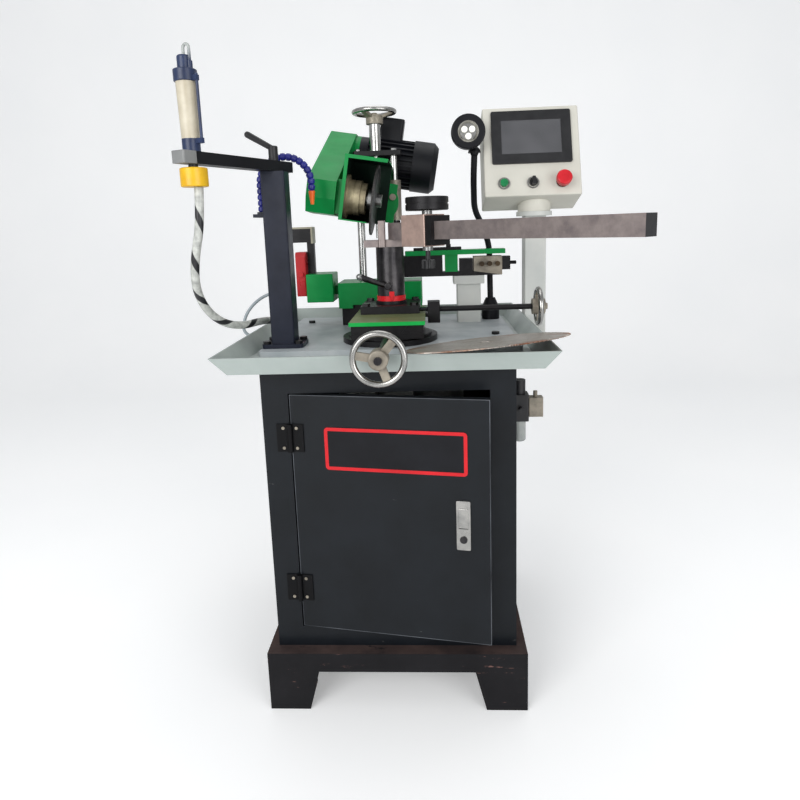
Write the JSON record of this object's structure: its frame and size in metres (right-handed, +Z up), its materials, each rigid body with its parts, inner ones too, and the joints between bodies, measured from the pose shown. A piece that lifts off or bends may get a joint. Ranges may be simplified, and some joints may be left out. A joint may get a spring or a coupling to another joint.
{
  "type": "saw blade tooth grinder",
  "caption": "Wet grinder for circular saw blade teeth: tilting spindle head, blade slide with clamp bar, indexing unit, drip tray, tilted console, on a steel cabinet with feet.",
  "frame": {"origin": "on the floor, at the centre of the four anchor holes in the feet", "axes": "+Z up, +X to the operator's right, +Y away from the operator"},
  "size_m": [0.9118, 0.8912, 1.4698],
  "materials": {
    "cabinet_black": "black-blue enamel",
    "steel": "ground",
    "chrome": "polished",
    "tray_paint": "pale grey enamel",
    "green_paint": "green enamel",
    "black_paint": "black enamel",
    "dark_iron": "oiled",
    "white_paint": "warm white powder coat",
    "red_plastic": "gloss",
    "green_plastic": "gloss",
    "black_plastic": "matt",
    "ivory_plastic": "satin",
    "yellow_plastic": "gloss",
    "blue_plastic": "satin",
    "rubber": "matt",
    "brass": "satin",
    "abrasive": "resin-bonded rim"
  },
  "bodies": {
    "base": {"base_frame": "cabinet_black", "cabinet_shell": "cabinet_black", "door_hinges": "cabinet_black", "coolant_tank": "steel", "control_panel": "white_paint", "air_unit": "black_plastic", "drip_tray": "tray_paint", "table_plate": "tray_paint", "table_bolts": "steel", "mast": "cabinet_black", "coolant_hose": "blue_plastic", "cable_bundle": "rubber", "air_hose": "rubber", "slide_base": "dark_iron", "head_base": "dark_iron", "pedestal": "white_paint", "index_base": "black_paint", "index_cover": "green_paint", "control_post": "white_paint", "lamp_stand": "black_paint"},
    "door": {"cabinet_door": "cabinet_black"},
    "latch": {"latch_lever": "chrome"},
    "arm": {"swing_arm": "black_paint", "mist_tube": "ivory_plastic", "yellow_cap": "yellow_plastic"},
    "arm_clamp": {"arm_lever": "black_plastic"},
    "cross": {"cross_slide": "green_paint"},
    "front_wheel": {"front_handwheel": "chrome"},
    "column": {"column_base": "dark_iron", "scale_ring": "red_plastic"},
    "side_wheel": {"side_handwheel": "chrome"},
    "swivel": {"swivel_column": "dark_iron", "bar_head": "steel", "square_bar": "steel"},
    "column_clamp": {"column_lever": "steel"},
    "carriage": {"bar_carriage": "steel"},
    "disc": {"clamp_disc": "black_paint"},
    "knob": {"star_knob": "black_plastic"},
    "saddle": {"head_saddle": "green_paint", "switch_box": "red_plastic", "lift_frame": "chrome"},
    "top_wheel": {"top_handwheel": "chrome"},
    "lift": {"head_slide": "steel"},
    "head": {"head_plate": "green_paint", "wheel_hood": "green_paint", "belt_guard": "green_paint", "motor": "black_paint", "spindle_housing": "brass", "drive_belt": "rubber"},
    "spin": {"spindle": "steel", "grinding_wheel": "abrasive"},
    "drive": {"motor_pulley": "dark_iron"},
    "pawl": {"index_pawl": "black_paint"},
    "console": {"control_box": "white_paint", "touch_panel": "black_plastic"},
    "start": {"green_button": "green_plastic"},
    "mode": {"selector_knob": "black_plastic"},
    "stop": {"stop_button": "red_plastic"},
    "lamp": {"lamp_head": "black_plastic"},
    "blade": {"saw_blade": "steel"}
  },
  "joints": [
    {"name": "door_hinge", "type": "hinge", "parent": "base", "child": "door", "pos_m": [-0.218, -0.2845, 0.477], "axis": [0, 0, -1], "range_deg": [-9.4, 100]},
    {"name": "latch_pull", "type": "hinge", "parent": "door", "child": "latch", "pos_m": [0.15763, -0.34212, 0.51], "axis": [-0.9866, 0.1633, 0], "range_deg": [0, 40]},
    {"name": "arm_swing", "type": "hinge", "parent": "base", "child": "arm", "pos_m": [-0.258, -0.1, 1.256], "axis": [0, 0, 1], "range_deg": [-60, 60]},
    {"name": "arm_lever_turn", "type": "hinge", "parent": "base", "child": "arm_clamp", "pos_m": [-0.258, -0.1, 1.285], "axis": [0, 0, 1], "range_deg": [-60, 30]},
    {"name": "cross_travel", "type": "slide", "parent": "base", "child": "cross", "axis": [0, 1, 0], "range_m": [-0.045, 0]},
    {"name": "front_wheel_turn", "type": "hinge", "parent": "base", "child": "front_wheel", "pos_m": [-0.005, -0.388, 0.857], "axis": [0, 1, 0], "range_deg": [-3260, 20]},
    {"name": "column_travel", "type": "slide", "parent": "cross", "child": "column", "axis": [1, 0, 0], "range_m": [-0.028, 0.014]},
    {"name": "side_wheel_turn", "type": "hinge", "parent": "cross", "child": "side_wheel", "pos_m": [0.353, -0.008, 0.9006], "axis": [1, 0, 0], "range_deg": [-2040, 1030]},
    {"name": "column_swivel", "type": "hinge", "parent": "column", "child": "swivel", "pos_m": [-0.005, 0.048, 1], "axis": [0, 0, 1], "range_deg": [-25, 15]},
    {"name": "column_lever_turn", "type": "hinge", "parent": "swivel", "child": "column_clamp", "pos_m": [-0.01, 0.008, 0.96], "axis": [0, 1, 0], "range_deg": [-30, 60]},
    {"name": "carriage_travel", "type": "slide", "parent": "swivel", "child": "carriage", "axis": [0.7071, -0.7071, 0], "range_m": [-0.015, 0.48]},
    {"name": "disc_turn", "type": "hinge", "parent": "carriage", "child": "disc", "pos_m": [0.0947, -0.0517, 1.16], "axis": [0, 0, 1], "continuous": true},
    {"name": "knob_turn", "type": "hinge", "parent": "carriage", "child": "knob", "pos_m": [0.0947, -0.0517, 1.03], "axis": [0, 0, 1], "range_deg": [-90, 90]},
    {"name": "saddle_feed", "type": "slide", "parent": "base", "child": "saddle", "axis": [0, -1, 0], "range_m": [-0.02, 0.04]},
    {"name": "head_lift", "type": "slide", "parent": "saddle", "child": "lift", "axis": [0, 0, 1], "range_m": [-0.008, 0.04]},
    {"name": "top_wheel_turn", "type": "hinge", "parent": "saddle", "child": "top_wheel", "pos_m": [-0.0485, 0.252, 1.42], "axis": [0, 0, 1], "range_deg": [-600, 2900]},
    {"name": "head_tilt", "type": "hinge", "parent": "lift", "child": "head", "pos_m": [-0.044, 0.22, 1.18], "axis": [0, 1, 0], "range_deg": [-7, 2]},
    {"name": "spindle_spin", "type": "hinge", "parent": "head", "child": "spin", "pos_m": [-0.044, 0.112, 1.18], "axis": [0.9863, 0, -0.165], "continuous": true},
    {"name": "motor_spin", "type": "hinge", "parent": "head", "child": "drive", "pos_m": [-0.02419, 0.352, 1.29835], "axis": [0.9863, 0, -0.165], "continuous": true},
    {"name": "pawl_travel", "type": "slide", "parent": "base", "child": "pawl", "axis": [1, 0, 0], "range_m": [-0.02, 0.02]},
    {"name": "console_swivel", "type": "hinge", "parent": "base", "child": "console", "pos_m": [0.387, 0.181, 1.14], "axis": [0, 0, 1], "range_deg": [-35, 20]},
    {"name": "start_press", "type": "slide", "parent": "console", "child": "start", "axis": [0, 0.9511, -0.309], "range_m": [0, 0.003], "stiffness_N_per_m": 400},
    {"name": "mode_turn", "type": "hinge", "parent": "console", "child": "mode", "pos_m": [0.375, 0.12282, 1.21129], "axis": [0, -0.9511, 0.309], "range_deg": [-45, 45]},
    {"name": "stop_press", "type": "slide", "parent": "console", "child": "stop", "axis": [0, 0.9511, -0.309], "range_m": [0, 0.005], "stiffness_N_per_m": 400},
    {"name": "lamp_tilt", "type": "hinge", "parent": "base", "child": "lamp", "pos_m": [0.224, 0.152, 1.296], "axis": [1, 0, 0], "range_deg": [-20, 20]},
    {"name": "blade_lift_off", "type": "slide", "parent": "base", "child": "blade", "axis": [0, 0, 1], "range_m": [0, 0.15]}
  ],
  "couplings": [
    {"joint": "front_wheel_turn", "follows": "cross_travel", "rad_per_m": 1256.6},
    {"joint": "side_wheel_turn", "follows": "column_travel", "rad_per_m": 1256.6},
    {"joint": "top_wheel_turn", "follows": "head_lift", "rad_per_m": 1256.6},
    {"joint": "motor_spin", "follows": "spindle_spin", "ratio": 0.875}
  ]
}
